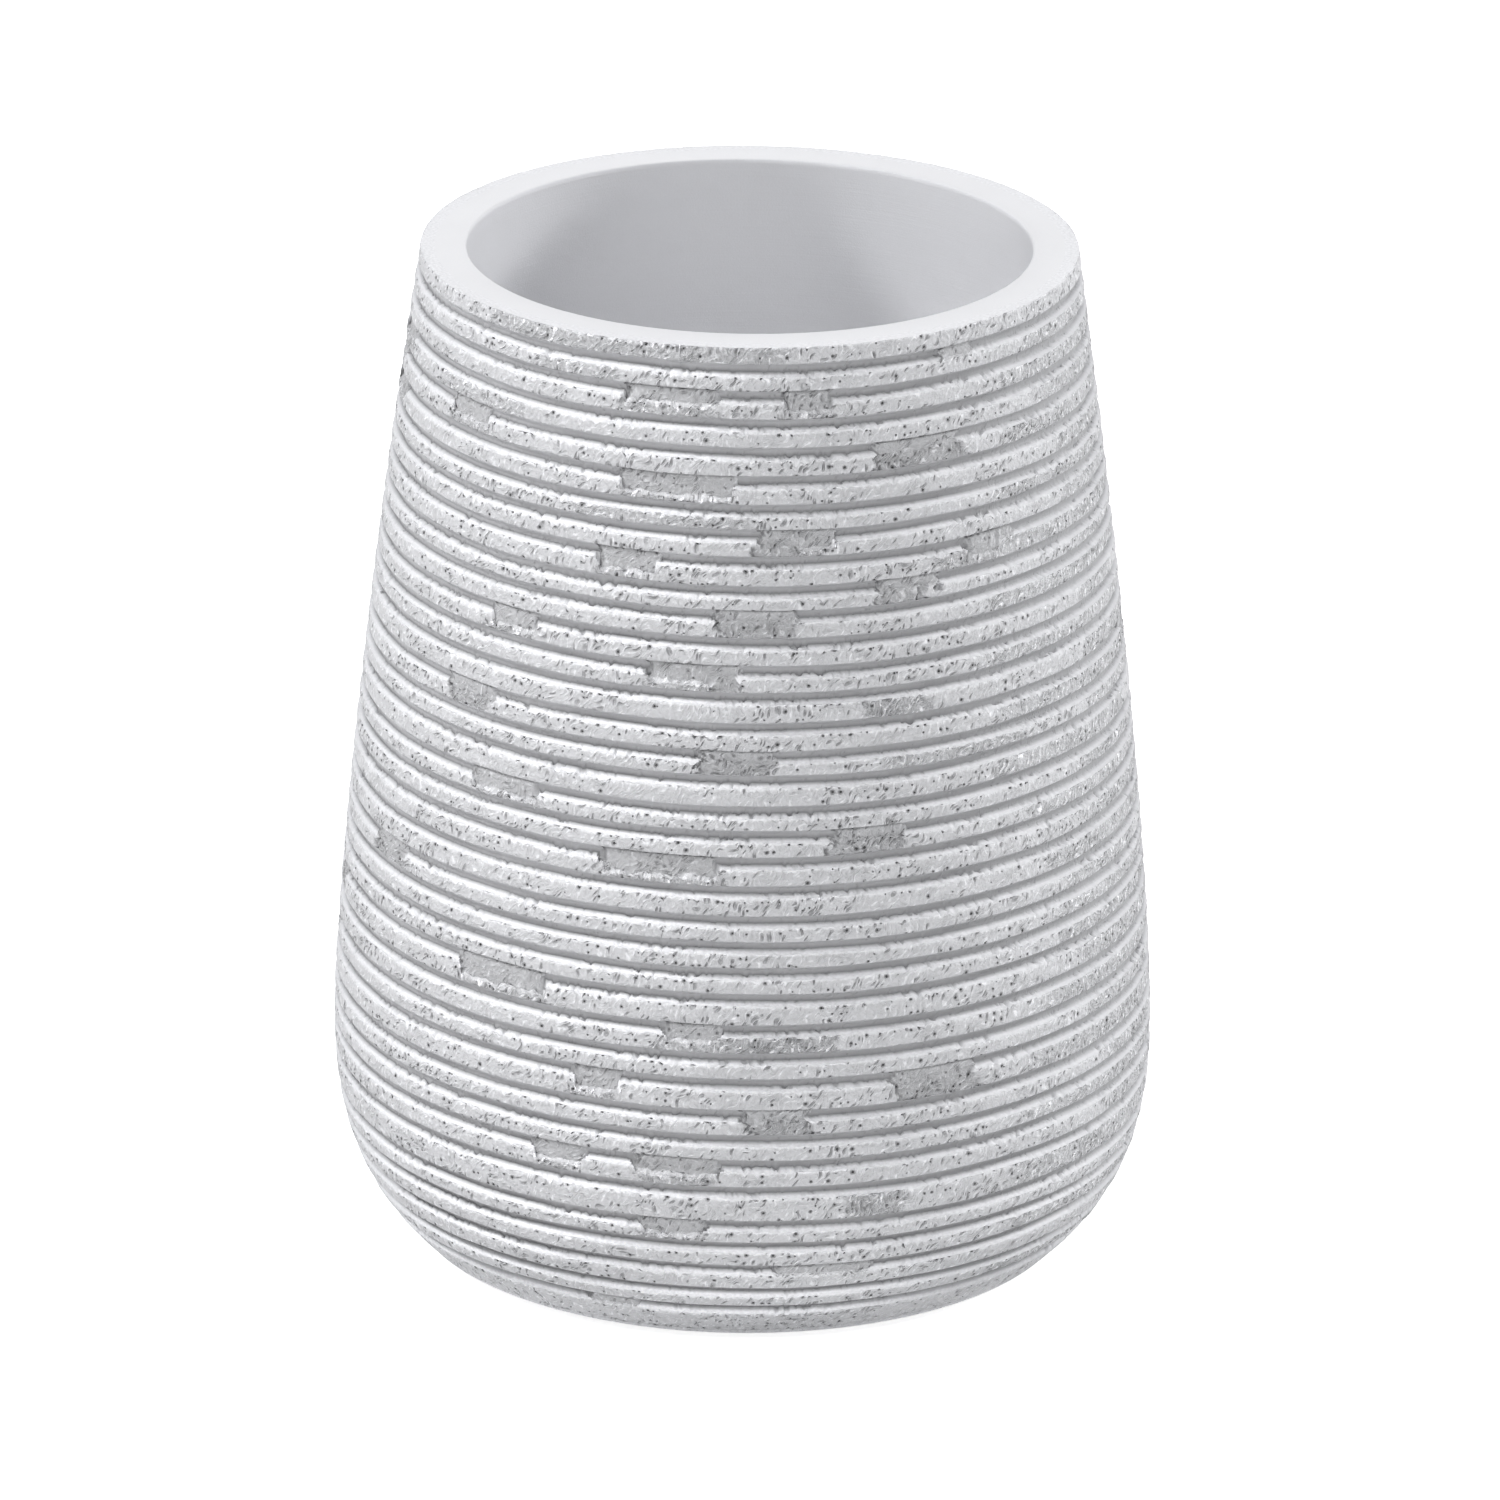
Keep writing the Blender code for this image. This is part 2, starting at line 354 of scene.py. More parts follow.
def course_mesh(name, first, last):
    """A closed ring of wall, from one ring of its outside to another, with a plain wall behind."""
    course = rings[first : last + 1]
    loop = course + [behind(ring) for ring in (course[-1], course[0]) if ring.depth]
    angle = np.radians(turn)
    radius, height = (np.array([ring.point[i] for ring in loop])[:, None] for i in (0, 1))
    fade = np.clip((rim_corner.y - height) / SLOPE_FADE, 0, 1)
    fade *= np.clip((height - base_seam.y) / SLOPE_FADE, 0, 1)
    x, y = radius * np.sin(angle), -radius * np.cos(angle)
    points = np.stack([x, y, height + x * math.tan(COMB_SLOPE) * fade], axis=-1)
    count = len(loop)
    upper = np.arange(count)[:, None] * COLUMNS + np.arange(COLUMNS)
    lower = np.roll(upper, -1, axis=0)
    faces = np.stack([upper, lower, np.roll(lower, -1, axis=1), np.roll(upper, -1, axis=1)], axis=-1)
    mesh = bpy.data.meshes.new(name)
    mesh.from_pydata(points.reshape(-1, 3), [], faces.reshape(-1, 4))

    values, shade = surface(loop)
    for field, value in values.items():
        spread = np.broadcast_to(value, shade.shape).ravel()
        mesh.attributes.new(field, "FLOAT", "POINT").data.foreach_set("value", spread)

    into = np.array([ring.inward[:] for ring in loop])[:, :, None]
    compass = np.stack([np.sin(angle), -np.cos(angle)])
    level = np.ones(COLUMNS)
    inward = np.stack([into[:, 0] * compass[0], into[:, 0] * compass[1], into[:, 1] * level], axis=-1)
    down = np.stack([-into[:, 1] * compass[0], -into[:, 1] * compass[1], into[:, 0] * level], axis=-1)
    way = np.concatenate([fall[first : last + 1], [fall[last]] * (count - len(course))])[:, None]
    around = np.radians(turn) * radius.mean() / MM
    place = np.stack([around + way * 0, way + values["shift"], shade], axis=-1)
    for field, vectors in (("inward", inward), ("down", down), ("place", place)):
        mesh.attributes.new(field, "FLOAT_VECTOR", "POINT").data.foreach_set("vector", vectors.ravel())
    bake_map(mesh, fall[first : last + 1], count)
    return mesh


# The flat map for baking: the strips that a course is cut into, the margin round each as a share of its
# size, and the share of its height that the outside takes, above the hidden rings behind
STRIPS = 4
STRIP_MARGIN = 0.02
SHOWN_SHARE = 0.94


def bake_map(mesh, way, count):
    """Lays a course out flat for baking, as four strips one above the other."""
    quarter = COLUMNS // STRIPS
    shown = (way - way[0]) / (way[-1] - way[0]) * SHOWN_SHARE
    hidden = np.linspace(SHOWN_SHARE, 1, count - len(way) + 2)[1:]
    down = np.concatenate([shown, hidden])
    column = np.arange(COLUMNS)
    left = np.broadcast_to((column % quarter) / quarter, (count, COLUMNS))
    strip = np.broadcast_to(column // quarter, (count, COLUMNS))
    top = np.broadcast_to(down[:-1, None], (count, COLUMNS))
    bottom = np.broadcast_to(down[1:, None], (count, COLUMNS))
    corners = [(left, top), (left, bottom), (left + 1 / quarter, bottom), (left + 1 / quarter, top)]
    used = 1 - 2 * STRIP_MARGIN
    u = np.stack([STRIP_MARGIN + across * used for across, _ in corners], axis=-1)
    v = np.stack([1 - (strip + STRIP_MARGIN + along * used) / STRIPS for _, along in corners], axis=-1)
    mesh.uv_layers.new(name="OFBake").uv.foreach_set("vector", np.stack([u, v], axis=-1).ravel())


class Wire:
    """A value in a node tree. A sum written with it adds the Math node that it needs."""

    def __init__(self, tree, socket=None):
        self.tree = tree
        self.socket = socket

    def node(self, kind, settings, sockets, output=0):
        """A new node with these settings and then these values or wires in its sockets."""
        made = self.tree.nodes.new(kind)
        for name, value in settings.items():
            setattr(made, name, value)
        for key, value in sockets.items():
            if isinstance(value, Wire):
                self.tree.links.new(value.socket, made.inputs[key])
            else:
                made.inputs[key].default_value = value
        return Wire(self.tree, made.outputs[output])

    def also(self, output):
        """Another output of the node that this wire comes from."""
        return Wire(self.tree, self.socket.node.outputs[output])

    def maths(self, operation, *values):
        return self.node("ShaderNodeMath", {"operation": operation}, dict(enumerate(values)))

    def __add__(self, other):
        return self.maths("ADD", self, other)

    __radd__ = __add__

    def __mul__(self, other):
        return self.maths("MULTIPLY", self, other)

    __rmul__ = __mul__

    def __sub__(self, other):
        return self.maths("SUBTRACT", self, other)

    def __rsub__(self, other):
        return self.maths("SUBTRACT", other, self)

    def __truediv__(self, other):
        return self.maths("DIVIDE", self, other)

    def __mod__(self, other):
        return self.maths("FLOORED_MODULO", self, other)

    def __lt__(self, other):
        return self.maths("LESS_THAN", self, other)

    def most(self, other):
        return self.maths("MAXIMUM", self, other)

    def least(self, other):
        return self.maths("MINIMUM", self, other)

    def floor(self):
        return self.maths("FLOOR", self)

    def ramp(self, low, high):
        """Goes smoothly from 0 where this is low to 1 where it is high."""
        settings = {"interpolation_type": "SMOOTHSTEP"}
        return self.node("ShaderNodeMapRange", settings, {"Value": self, "From Min": low, "From Max": high})

    def parts(self):
        split = self.node("ShaderNodeSeparateXYZ", {}, {0: self})
        return split, split.also(1), split.also(2)

    def noise(self, x, y, z, detail=0.0):
        """Noise between about 0.2 and 0.8 with features about 1 across."""
        place = self.node("ShaderNodeCombineXYZ", {}, {0: x, 1: y, 2: z})
        return self.node("ShaderNodeTexNoise", {}, {"Vector": place, "Scale": 1.0, "Detail": detail})

    def noise_at(self, place, rates, detail):
        """Noise at a place, with so many features for each unit of its three parts."""
        x, y, z = (part * rate for part, rate in zip(place, rates))
        return self.noise(x, y, z, detail)

    def cells(self, x, y):
        """The distance to the nearest of scattered points, one to a unit square, and its random numbers."""
        place = self.node("ShaderNodeCombineXYZ", {}, {0: x, 1: y})
        near = self.node(
            "ShaderNodeTexVoronoi", {"voronoi_dimensions": "2D"}, {"Vector": place, "Scale": 1.0}
        )
        return near, near.also("Color").parts()

    def feed(self, shader, name):
        """Links this wire to the socket of this name."""
        self.tree.links.new(self.socket, shader.inputs[name])


def new_material(name):
    """A new material with its shader, and a wire to start its maths from."""
    material = bpy.data.materials.new(name)
    material.use_nodes = True
    return material, material.node_tree.nodes["Principled BSDF"], Wire(material.node_tree)


# Noises over the wall: features to a millimetre round and down it, or along and across the strokes in the
# torn one, then the layer and the detail. A noise strays about its middle.
wall_noises = {
    "bend": (0.6, 0.6, 7.0, 0.0),
    "crowding": (0.09, 0.2, 5.0, 1.0),
    "torn": (1.1, 3.0, 2.0, 3.0),
    "scuff": (2.4, 2.4, 4.0, 3.0),
    "patch": (0.45, 0.6, 9.0, 0.0),
    "white": (2.5, 4.0, 6.0, 2.0),
}
MIDDLE = 0.5


def wall_noise(name, around, down):
    """The noise of this name at a place on the wall."""
    per_round, per_down, layer, detail = wall_noises[name]
    return around.noise(around * per_round, down * per_down, layer, detail)


# The casting is full of small air pits, and the comb tore short slanting strokes into it. The same pits and
# strokes, in millimetres round and down the wall, dent the mesh and darken the resin with painted shade.
PIT_CELL = 0.80
PIT_RADIUS = 0.125
STROKE_ANGLE = math.radians(52)
STROKE_CELLS = (1.3, 0.40)
STROKE_REACH = 0.19
BEND = 1.6

# The sizes that pits and strokes have at least, and how far they range, as shares of their radius or reach
PIT_LEAST_SHARE, PIT_RANGE_SHARE = 0.45, 0.9
STROKE_LEAST_SHARE, STROKE_RANGE_SHARE = 0.4, 0.8

# How many of the cells hold a pit or a stroke, how many more where they crowd, and on the white edges
CROWDED = (0.38, 0.62)
PIT_CHANCE, PIT_CROWDING, PIT_WHITE_CROWDING = 0.12, 0.22, 0.4
STROKE_CHANCE, STROKE_CROWDING = 0.08, 0.40

# Where the painted shade and the depth of a pit and of a stroke begin and are full, in its own radii, and
# how strong a stroke's painted shade is
PIT_DARK, PIT_DEEP = (1.05, 0.7), (2.0, 0.5)
STROKE_DARK, STROKE_DEEP = (1.0, 0.4), (2.2, 0.4)
STROKE_DARKNESS = 0.5


def slanting(around, down):
    """Distances along and across the direction in which the comb tore, bent a little here and there."""
    bend = (wall_noise("bend", around, down) - MIDDLE) * BEND
    along = around * math.cos(STROKE_ANGLE) - down * math.sin(STROKE_ANGLE)
    return along, around * math.sin(STROKE_ANGLE) + down * math.cos(STROKE_ANGLE) + bend


def flaws(around, down, shade):
    """Where the bands have pits and strokes: how much painted shade darkens them and how deep, from 0 to 1
    each.
    """
    crowding = wall_noise("crowding", around, down).ramp(*CROWDED)
    near, (size, chance, _) = around.cells(around / PIT_CELL, down / PIT_CELL)
    pit = near * PIT_CELL / ((size * size * PIT_RANGE_SHARE + PIT_LEAST_SHARE) * PIT_RADIUS)
    pitted = chance < crowding * PIT_CROWDING - shade.least(0.0) * PIT_WHITE_CROWDING + PIT_CHANCE
    along, across = slanting(around, down)
    near, (size, chance, _) = around.cells(along / STROKE_CELLS[0], across / STROKE_CELLS[1])
    stroke = near / ((size * STROKE_RANGE_SHARE + STROKE_LEAST_SHARE) * STROKE_REACH)
    stroked = chance < crowding * STROKE_CROWDING + STROKE_CHANCE
    painted_flaw_shade = (pit.ramp(*PIT_DARK) * pitted).most(stroke.ramp(*STROKE_DARK) * stroked * STROKE_DARKNESS)
    deep = (pit.ramp(*PIT_DEEP) * pitted).most(stroke.ramp(*STROKE_DEEP) * stroked)
    return painted_flaw_shade, deep


# Sizes of the relief in millimetres, and its seed
relief_sizes = {
    "Wave": 0.16, "Nibble": 2.4, "Nick": 0.15, "Depth change": 0.5, "Pit depth": 0.08,
    "Tear": 0.6, "Swell": 0.10, "Chamfer": 0.5, "Seed": 3.0,
}

# Noises round the wall that differ from one edge or comb mark to the next: features to a millimetre, how
# far apart the layers of two neighbours are, and the detail
edge_noises = {
    "wave": (0.07, 3.7, 1.0),
    "patches": (0.14, 1.7, 1.0),
    "bites": (1.9, 5.3, 4.0),
    "nicks": (0.5, 7.1, 2.0),
    "depth": (0.12, 2.9, 1.0),
    "wear": (0.6, 3.1, 2.0),
}

# Bites, nicks, tears and worn edges are where their noises are above these
BITE_FROM = 0.51
NICK_FROM = 0.58
TEAR_FROM = 0.35
WEAR_FROM = 0.47

# A ragged edge goes from nearly whole to fully bitten over this range of its noise, and is never less
# bitten than this
BITTEN = (0.40, 0.62)
LEAST_BITTEN = 0.2

# The noises that make the edges of chips uneven, that tear the wall and that swell the bands: features to a
# millimetre, and the detail. The lift keeps chips about as high as their table says.
UNEVEN_RATES, UNEVEN_DETAIL = (0.7, 0.7, 0.7), 1.0
UNEVEN_LIFT = 0.45
TEAR_RATES, TEAR_DETAIL = (0.8, 0.8, 1.2), 2.0
SWELL_RATES, SWELL_DETAIL = (0.35, 0.8), 1.0

# The share of a band's height, from its top edge, that is worn off slantwise
CHAMFER_SHARE = 0.3


def relief_tree():
    """Wears the combed wall: its edges stray, and its bands are chipped, torn and pitted."""
    tree = bpy.data.node_groups.new("combed wall", "GeometryNodeTree")
    tree.interface.new_socket("Geometry", in_out="INPUT", socket_type="NodeSocketGeometry")
    for name in relief_sizes:
        tree.interface.new_socket(name, in_out="INPUT", socket_type="NodeSocketFloat")
    tree.interface.new_socket("Resin", in_out="INPUT", socket_type="NodeSocketMaterial")
    tree.interface.new_socket("Geometry", in_out="OUTPUT", socket_type="NodeSocketGeometry")
    given = tree.nodes.new("NodeGroupInput")
    size = {name: Wire(tree, given.outputs[name]) for name in relief_sizes}
    start = Wire(tree, given.outputs["Geometry"])

    def named(name, kind="FLOAT"):
        return start.node("GeometryNodeInputNamedAttribute", {"data_type": kind}, {"Name": name})

    x, y, z = start.node("GeometryNodeInputPosition", {}, {}).parts()
    x, y, z = x / MM, y / MM, z / MM
    seed = size["Seed"]

    def edge_noise(name, edge):
        """The noise of this name round the wall, at this edge or comb mark."""
        rate, step, detail = edge_noises[name]
        return start.noise(x * rate, y * rate, edge * step + seed, detail)

    def comb_mark(edge):
        """The number of the comb mark that this edge belongs to."""
        return ((edge - 1) / 2).floor()

    def stray(edge):
        """How far a lip or a ragged edge lies below its place, in millimetres."""
        lip = edge % 2
        wave = (edge_noise("wave", comb_mark(edge)) - MIDDLE) * 2 * size["Wave"]
        patchy = edge_noise("patches", edge).ramp(*BITTEN) * (1 - LEAST_BITTEN) + LEAST_BITTEN
        bite = (edge_noise("bites", edge) - BITE_FROM).most(0.0)
        ragged = bite * patchy * size["Nibble"]
        nick = (edge_noise("nicks", edge) - NICK_FROM).most(0.0) * size["Nick"]
        return wave + ragged * (1 - lip) - nick * lip

    above, share, give, face, depth = (named(field) for field in ("above", "share", "give", "face", "depth"))
    uneven = start.noise_at((x, y, z), UNEVEN_RATES, UNEVEN_DETAIL) + UNEVEN_LIFT
    shift = stray(above) * (1 - share) + stray(named("below")) * share + named("shift") * uneven

    change = (edge_noise("depth", comb_mark(above)) - MIDDLE) * size["Depth change"]
    cut = (depth * (change + 1)).least(named("limit")).most(named("sunk"))
    around, down, shade = named("place", "FLOAT_VECTOR").parts()
    _, pits = flaws(around, down, shade)
    swell = start.noise(around * SWELL_RATES[0], down * SWELL_RATES[1], seed, SWELL_DETAIL) * size["Swell"]
    tear = (start.noise_at((x, y, z), TEAR_RATES, TEAR_DETAIL) - TEAR_FROM).most(0.0) * size["Tear"]
    worn_edge = (edge_noise("wear", above) - WEAR_FROM).most(0.0)
    chamfer = worn_edge * share.ramp(CHAMFER_SHARE, 0.0) * size["Chamfer"]
    worn = pits * size["Pit depth"] + swell + chamfer
    into = (cut - depth + worn * face + tear * named("torn")) * give * MM

    def along(direction, distance):
        vector = named(direction, "FLOAT_VECTOR")
        return start.node("ShaderNodeVectorMath", {"operation": "SCALE"}, {0: vector, "Scale": distance})

    offset = start.node(
        "ShaderNodeVectorMath",
        {"operation": "ADD"},
        {0: along("inward", into), 1: along("down", shift * named("slide") * MM)},
    )
    moved = start.node("GeometryNodeSetPosition", {}, {"Geometry": start, "Offset": offset})
    real = start.node("GeometryNodeRealizeInstances", {}, {0: moved})
    dressed = start.node(
        "GeometryNodeSetMaterial", {}, {"Geometry": real, "Material": Wire(tree, given.outputs["Resin"])}
    )
    end = tree.nodes.new("NodeGroupOutput")
    tree.links.new(dressed.socket, end.inputs[0])
    return tree


# The resin's skin everywhere: how shiny and rough it is, how far its roughness and tone stray, the height
# of its grain and brushing in millimetres, and the detail of its noises and their features to a millimetre
SPECULAR = 0.35
ROUGHNESS, ROUGHNESS_RANGE = 0.62, 0.2
TONE_RANGE = 0.05
GRAIN_HEIGHT = 0.02
SKIN_DETAIL = 2.0
CLOUD_RATES = (0.11, 0.11, 0.2)
GRAIN_RATES = (6, 6, 6)
BRUSHING_RATES = (0.12, 0.12, 5)

# The combed skin: how dark the painted shade in its pits is and how deep they look in millimetres, how
# strongly a groove is marked from which shade on, and how much the painted white of the torn edges varies
PIT_SHADE = 0.88
DENT_HEIGHT = 0.35
GROOVE_FROM, GROOVE_FACE = 0.3, 0.15
WHITE_CHANGE = 2

# How far its torn and scuffed marks stray in tone, as painted light and shade that follow their relief, and
# in millimetres, over which range of their noise they come in patches and how much of them stays in
# between, and where they have painted glints, white flecks of highlight, and how white
TORN_PAINTED_LIGHT = 0.35
TORN_HEIGHT, SCUFF_HEIGHT = 0.40, 0.30
PATCHES = (0.40, 0.60)
LEAST_PATCH = 0.3
GLINT_FROM, GLINT_WHITE = 0.56, 2.8


def resin(name, colour, is_combed):
    """Matt white filled resin: a fine grain in its colour and skin, with pits where it is combed, and there
    painted shade and highlights.
    """
    material, shader, start = new_material(name)
    shader.inputs["Specular IOR Level"].default_value = SPECULAR
    spot = [part / MM for part in start.node("ShaderNodeTexCoord", {}, {}, "Object").parts()]
    cloud = start.noise_at(spot, CLOUD_RATES, SKIN_DETAIL) - MIDDLE
    grain = start.noise_at(spot, GRAIN_RATES, SKIN_DETAIL) - MIDDLE
    brushing = start.noise_at(spot, BRUSHING_RATES, SKIN_DETAIL) - MIDDLE
    tone = cloud * TONE_RANGE + grain * TONE_RANGE + 1
    height = grain * GRAIN_HEIGHT + brushing * GRAIN_HEIGHT
    if is_combed:
        place = start.node("ShaderNodeAttribute", {"attribute_name": "place"}, {}, "Vector")
        around, down, shade = place.parts()
        face = start.node("ShaderNodeAttribute", {"attribute_name": "face"}, {}, "Fac")
        face = face.most(shade.ramp(0.0, GROOVE_FROM) * GROOVE_FACE)
        relief = face.most(start.node("ShaderNodeAttribute", {"attribute_name": "relief"}, {}, "Fac"))
        pits, dents = flaws(around, down, shade)
        along, across = slanting(around, down)
        torn = wall_noise("torn", along, across)
        scuff = wall_noise("scuff", around, down)
        patch = wall_noise("patch", around, down).ramp(*PATCHES) * (1 - LEAST_PATCH) + LEAST_PATCH
        tears = (torn - MIDDLE) * patch
        # Painted highlight on the torn edges, where the shade is below 0, and painted shade in the grooves,
        # chips and pits
        white = shade.least(0.0) * (wall_noise("white", around, down) * WHITE_CHANGE)
        tone = tone * (1 - (white + shade.most(0.0)) * GROOVE_SHADE) * (1 - pits * face * PIT_SHADE)
        # Painted glints on the torn skin, and painted light and shade in the tone of its relief
        painted_glints = (torn - GLINT_FROM).most(0.0) * GLINT_WHITE
        tone = tone * (1 + (tears + scuff - MIDDLE) * relief * TORN_PAINTED_LIGHT + painted_glints * relief)
        rise = tears * TORN_HEIGHT + (scuff - MIDDLE) * SCUFF_HEIGHT
        height = height + rise * relief - dents * DENT_HEIGHT * face
    shown = start.node("ShaderNodeVectorMath", {"operation": "SCALE"}, {0: colour, "Scale": tone})
    shown.feed(shader, "Base Color")
    (ROUGHNESS + grain * ROUGHNESS_RANGE).feed(shader, "Roughness")
    start.node("ShaderNodeBump", {}, {"Distance": MM, "Height": height}).feed(shader, "Normal")
    return material


def add(name, data):
    """A new object in the scene."""
    made = bpy.data.objects.new(name, data)
    bpy.context.scene.collection.objects.link(made)
    return made


def apply_modifiers(piece):
    """Gives a piece the mesh that its modifiers make, in their place."""
    bpy.context.view_layer.update()
    mesh = bpy.data.meshes.new_from_object(piece.evaluated_get(bpy.context.evaluated_depsgraph_get()))
    piece.modifiers.clear()
    piece.data = mesh
    mesh.name = piece.name
    return mesh


def keep(piece, node):
    """Makes a finished piece part of the tumbler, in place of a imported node."""
    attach(piece, "root")
    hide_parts(node)


# The outside is parted into courses at the backs of these grooves, counted from 0 at the rim
course_grooves = (4, 9, 14, 18, 23, 28, 32)
ends = [0] + [course_ends[groove] for groove in course_grooves] + [len(rings) - 1]

# Edges steeper than this look sharp
CREASE = math.radians(40)

combed_resin = resin("combed resin", COMBED_WHITE, True)
relief = relief_tree()
for number, (first, last) in enumerate(zip(ends, ends[1:])):
    name = f"combed_course_{number + 1}"
    course = add(name, course_mesh(name, first, last))
    wear = course.modifiers.new("wear", "NODES")
    wear.node_group = relief
    for socket in relief.interface.items_tree:
        if socket.in_out == "INPUT" and socket.name in relief_sizes:
            wear[socket.identifier] = relief_sizes[socket.name]
        if socket.name == "Resin":
            wear[socket.identifier] = combed_resin
    worn = apply_modifiers(course)
    for field in Ring._fields[2:] + fault_fields + ("inward", "down"):
        if field != "face":
            worn.attributes.remove(worn.attributes[field])
    worn.shade_smooth()
    worn.set_sharp_from_angle(angle=CREASE)
    keep(course, "cup")

# The rim and the inside are one smooth face of the same casting, turned down to the floor.
# Its hidden back follows the courses of the outside at a small distance. The mouth's edge is a small
# rounding with one point in its middle, cut in by this share of its radius from either side.
SMOOTH_STEPS = 6
SMOOTH_COLUMNS = 588
MOUTH_CRISP = 0.25 * MM
CUT_IN_SHARE = 0.29
BACK_GAP = 0.3 * MM
FLOOR_SPLIT = 3 * MM


def rounded(points, steps):
    """A smooth line through these points of a section."""
    neighbours = zip([points[0]] + points, points[1:] + points[-1:])
    ways = [(after - before).normalized() for before, after in neighbours]
    line = [points[0]]
    for (start, way_out), (end, way_in) in zip(zip(points, ways), zip(points[1:], ways[1:])):
        reach = (end - start).length / 3
        line += interpolate_bezier(start, start + way_out * reach, end - way_in * reach, end, steps + 1)[1:]
    return line


def turned(name, profile, columns, material):
    """The closed solid that this profile sweeps round the Z axis."""
    shape = bmesh.new()
    points = [shape.verts.new((0, -point.x, point.y)) for point in profile]
    lines = [shape.edges.new(pair) for pair in zip(points, points[1:] + points[:1])]
    bmesh.ops.spin(
        shape, geom=points + lines, cent=(0, 0, 0), axis=(0, 0, 1), angle=math.tau, steps=columns
    )
    bmesh.ops.remove_doubles(shape, verts=shape.verts, dist=WELD / 10)
    bmesh.ops.recalc_face_normals(shape, faces=shape.faces)
    mesh = bpy.data.meshes.new(name)
    shape.to_mesh(mesh)
    shape.free()
    mesh.shade_smooth()
    mesh.set_sharp_from_angle(angle=CREASE)
    mesh.materials.append(material)
    return add(name, mesh)


smooth_resin = resin("smooth resin", SMOOTH_WHITE, False)
rim_inner_corner, _, *wall_points = inside
mouth = Vector((wall_points[0].x, rim_inner_corner.y))
mouth_turns = ((1, 0), (CUT_IN_SHARE, -CUT_IN_SHARE), (0, -1))
mouth_edge = [mouth + MOUTH_CRISP * Vector(way) for way in mouth_turns]
inner_wall = rounded(mouth_edge + wall_points, SMOOTH_STEPS)
floor_split = base_seam.y + FLOOR_SPLIT
backs = [behind(rings[end]).point for end in ends[1:-1]]
back_line = [point - Vector((BACK_GAP, 0)) for point in backs] + [Vector((base_seam.x, floor_split))]
profile = [rim_seam, *inner_wall, Vector((0, inside[-1].y)), Vector((0, floor_split))] + back_line[::-1]
rim_and_inside = turned("rim_and_inside", profile, SMOOTH_COLUMNS, smooth_resin)
keep(rim_and_inside, "cup")

# The underside is the flat face that the casting stood on in its mould, with four shallow round seats
# for the feet, each wider and higher than its foot by a film of glue.
SEAT_SIDES = 96
SEAT_GAP = 0.3 * MM
feet = [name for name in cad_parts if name.startswith("foot_")]
seat_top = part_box("foot_front_left")[1].z + SEAT_GAP
base_profile = [
    Vector((0, floor_split - BACK_GAP)),
    Vector((base_seam.x, floor_split - BACK_GAP)),
    base_seam,
    Vector((0, base_seam.y)),
]
underside = turned("underside", base_profile, SMOOTH_COLUMNS, smooth_resin)
cutters = []
for name in feet:
    low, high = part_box(name)
    centre = (low + high) / 2
    radius = (high.x - low.x) / 2 + SEAT_GAP
    seat = [Vector((0, seat_top)), Vector((radius, seat_top)), Vector((radius, 0)), Vector((0, 0))]
    cutter = turned(name + "_seat", seat, SEAT_SIDES, smooth_resin)
    cutter.location = (centre.x, centre.y, 0)
    cut = underside.modifiers.new(name, "BOOLEAN")
    cut.operation = "DIFFERENCE"
    cut.object = cutter
    cutters.append(cutter)
apply_modifiers(underside)
for cutter in cutters:
    bpy.data.objects.remove(cutter)
keep(underside, "cup")

# The feet are soft milky bumper plastic, moulded as low discs with a rounded edge, a shallow ring round
# the face and the small dimple that the mould's gate leaves. Each is glued into its seat.
FOOT_EDGE = 0.6 * MM
FOOT_STEPS = 8
DIMPLE_RADIUS = 0.7 * MM
DIMPLE_DEPTH = 0.15 * MM
RING_RADIUS = 2.2 * MM
RING_WIDTH = 0.25 * MM
RING_DEPTH = 0.10 * MM

# The sections of the ring and of the dimple: shares of the ring's width and depth, and of the dimple's radius
ring_shares = ((1, 0), (0.5, 0.85), (0, 1), (-0.5, 0.85), (-1, 0))
dimple_shares = (1, 0.75, 0.5, 0.25, 0)

# The bumper plastic: its colour, how far it lightens and darkens, how rough it is, the height of its grain
# in millimetres, and the features of its noises to a millimetre
BUMPER_COLOUR = (0.62, 0.63, 0.64)
BUMPER_TONE, BUMPER_TONE_RANGE = 0.95, 0.1
BUMPER_ROUGHNESS, BUMPER_ROUGHNESS_RANGE = 0.3, 0.2
BUMPER_GRAIN_HEIGHT = 0.01
BUMPER_CLOUD_RATES, BUMPER_CLOUD_DETAIL = (0.6, 0.6, 0.6), 3.0
BUMPER_GRAIN_RATES, BUMPER_GRAIN_DETAIL = (9, 9, 9), 1.0


def bumper():
    """Soft milky plastic, satin, with a faint cloudiness."""
    material, shader, start = new_material("milky bumper plastic")
    spot = [part / MM for part in start.node("ShaderNodeTexCoord", {}, {}, "Object").parts()]
    cloud = start.noise_at(spot, BUMPER_CLOUD_RATES, BUMPER_CLOUD_DETAIL)
    grain = start.noise_at(spot, BUMPER_GRAIN_RATES, BUMPER_GRAIN_DETAIL)
    tone = BUMPER_TONE + cloud * BUMPER_TONE_RANGE
    colour = start.node("ShaderNodeVectorMath", {"operation": "SCALE"}, {0: BUMPER_COLOUR, "Scale": tone})
    colour.feed(shader, "Base Color")
    (BUMPER_ROUGHNESS + grain * BUMPER_ROUGHNESS_RANGE).feed(shader, "Roughness")
    height = grain * BUMPER_GRAIN_HEIGHT
    start.node("ShaderNodeBump", {}, {"Distance": MM, "Height": height}).feed(shader, "Normal")
    return material


